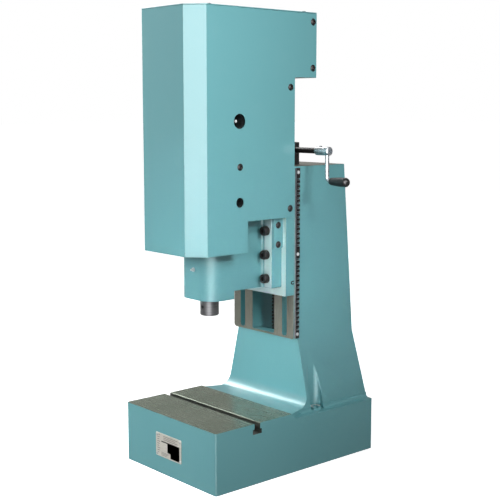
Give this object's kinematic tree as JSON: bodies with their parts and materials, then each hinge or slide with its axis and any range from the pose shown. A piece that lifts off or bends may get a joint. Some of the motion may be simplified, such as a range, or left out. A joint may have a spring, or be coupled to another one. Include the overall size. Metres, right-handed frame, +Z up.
{
  "type": "pneumatic arbor press",
  "caption": "Bench arbor press: cast C-frame with T-slot table, crank-adjusted press head under a sheet-metal cover, and an air cylinder driving a round ram with a tool bore.",
  "frame": {"origin": "centre of the base's flat underside", "axes": "+Z up along the column and the ram's axis, -Y towards the operator, +X towards the side with the height crank and the toothed strip"},
  "size_m": [0.2422, 0.3046, 0.6329],
  "materials": {
    "cast_paint": "teal hammer-smooth enamel on cast iron",
    "sheet_paint": "teal enamel on sheet steel, semi-gloss",
    "machined_iron": "fine machined, oiled",
    "bright_steel": "turned and lightly polished",
    "ram_steel": "ground",
    "black_steel": "black oxide",
    "bronze": "machined bearing bronze",
    "aluminium": "satin anodised",
    "black_plastic": "moulded, satin",
    "seal_rubber": "matt",
    "plate": "satin, blank panels"
  },
  "bodies": {
    "frame": {"frame_casting": "cast_paint", "name_plate": "plate", "name_plate_rivets": "aluminium", "height_rack": "black_steel", "rack_screws": "bright_steel", "gear_housing": "black_steel", "gear_housing_screws": "black_steel", "spindle_top_bush": "bronze", "spindle_foot_bush": "bronze", "shaft_bushes": "bronze"},
    "spindle": {"lead_screw": "bright_steel", "spindle_gear": "bright_steel"},
    "crank": {"cross_shaft": "black_steel", "shaft_gear": "bright_steel", "crank_hub": "bright_steel", "crank_rod": "bright_steel", "crank_set_screw": "black_steel"},
    "handle": {"crank_handle": "black_plastic"},
    "ram": {"ram": "ram_steel", "ram_set_screw": "black_steel", "rod_coupling": "bright_steel", "piston_rod": "bright_steel", "piston": "aluminium", "piston_seal": "seal_rubber", "piston_nut": "bright_steel"},
    "carriage": {"carriage_plate": "cast_paint", "nut_bracket": "machined_iron", "nut_bracket_screws": "black_steel", "spindle_nut": "bronze", "clamp_bars": "machined_iron", "head_screws": "black_steel", "height_pointer": "black_steel", "head_casting": "cast_paint", "cylinder_yoke": "cast_paint", "yoke_screws": "black_steel", "ram_bush_lower": "bronze", "ram_bush_upper": "bronze", "ram_wiper": "seal_rubber", "grease_nipple": "bright_steel", "cover_brackets": "sheet_paint", "bracket_screws": "black_steel", "cover_shell": "sheet_paint", "cover_top": "sheet_paint", "cover_top_screws": "black_steel", "cover_back_plate": "sheet_paint", "cover_screws": "black_steel", "cover_spacers": "bright_steel", "cylinder_base": "aluminium", "cylinder_barrel": "aluminium", "cylinder_head": "aluminium", "tie_rods": "bright_steel", "tie_rod_nuts": "bright_steel", "cylinder_screws": "black_steel", "rod_bush": "bronze", "valve_block": "aluminium", "valve_screws": "black_steel", "valve_coil": "black_plastic", "air_pipes": "black_plastic", "air_inlet": "bright_steel", "exhaust_muffler": "bronze"}
  },
  "joints": [
    {"name": "head_height", "type": "slide", "parent": "frame", "child": "carriage", "axis": [0, 0, 1], "range_m": [-0.075, 0.06]},
    {"name": "spindle_turn", "type": "hinge", "parent": "frame", "child": "spindle", "pos_m": [0, 0.048, 0.3], "axis": [0, 0, 1], "range_deg": [-4325, 5405]},
    {"name": "crank_turn", "type": "hinge", "parent": "frame", "child": "crank", "pos_m": [0, 0.048, 0.4425], "axis": [1, 0, 0], "range_deg": [-4325, 5405]},
    {"name": "handle_spin", "type": "hinge", "parent": "crank", "child": "handle", "pos_m": [0.12, 0.048, 0.4015], "axis": [1, 0, 0], "continuous": true},
    {"name": "ram_stroke", "type": "slide", "parent": "carriage", "child": "ram", "axis": [0, 0, -1], "range_m": [0, 0.05]}
  ],
  "couplings": [
    {"joint": "spindle_turn", "follows": "head_height", "rad_per_m": -1256.6},
    {"joint": "crank_turn", "follows": "head_height", "rad_per_m": -1256.6}
  ]
}
